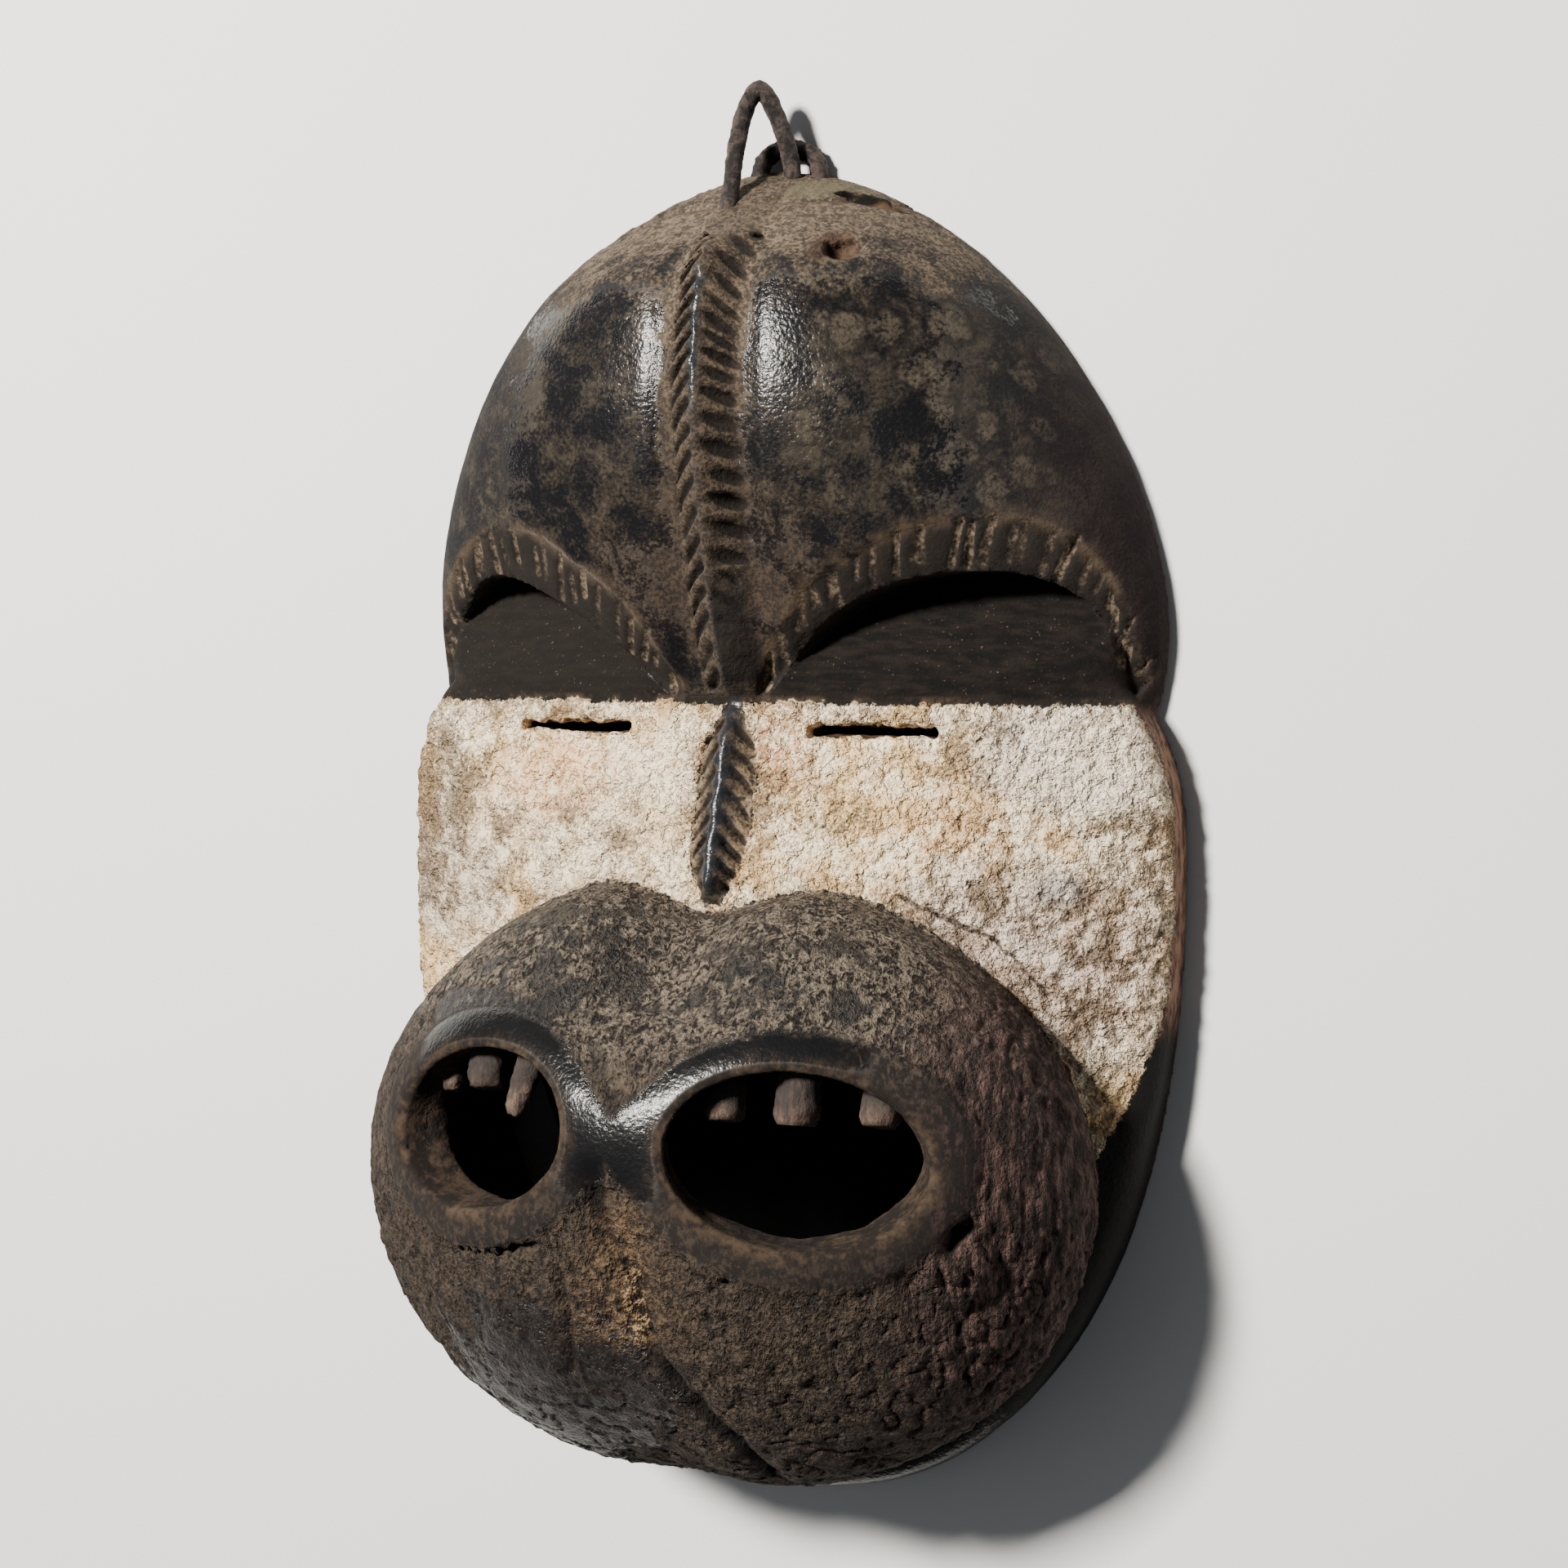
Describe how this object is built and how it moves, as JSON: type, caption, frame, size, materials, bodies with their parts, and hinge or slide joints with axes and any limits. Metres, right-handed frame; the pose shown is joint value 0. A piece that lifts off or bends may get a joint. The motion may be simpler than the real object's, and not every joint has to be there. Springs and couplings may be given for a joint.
{
  "type": "carved wooden animal mask",
  "caption": "Carved wooden ape mask: domed forehead with a notched ridge, hatched brows, white cheeks with eye slits, bulging muzzle with lipped openings and peg teeth, iron hanging hoop.",
  "frame": {"origin": "middle of the bounding box's underside, in the plane of the mask's flat back rim, as the mask lies on its back", "axes": "+X across the face to the viewer's right, +Y towards the crown and its hanging hoop, +Z out of the face, up as it lies"},
  "size_m": [0.2044, 0.3446, 0.0978],
  "materials": {
    "blackened_wood": "blackened, polished by handling, with dust in the cuts and white clay on the cheeks",
    "rusted_iron": "forged and rusted",
    "tooth_wood": "raw, rough and dirty"
  },
  "bodies": {
    "root": {"mask_body": "blackened_wood", "hanging_hoop": "rusted_iron", "low_hoop": "rusted_iron", "tooth_right_inner": "tooth_wood", "tooth_right_middle": "tooth_wood", "tooth_right_outer": "tooth_wood", "tooth_left_inner": "tooth_wood", "tooth_left_middle": "tooth_wood", "tooth_left_outer": "tooth_wood"}
  },
  "joints": []
}
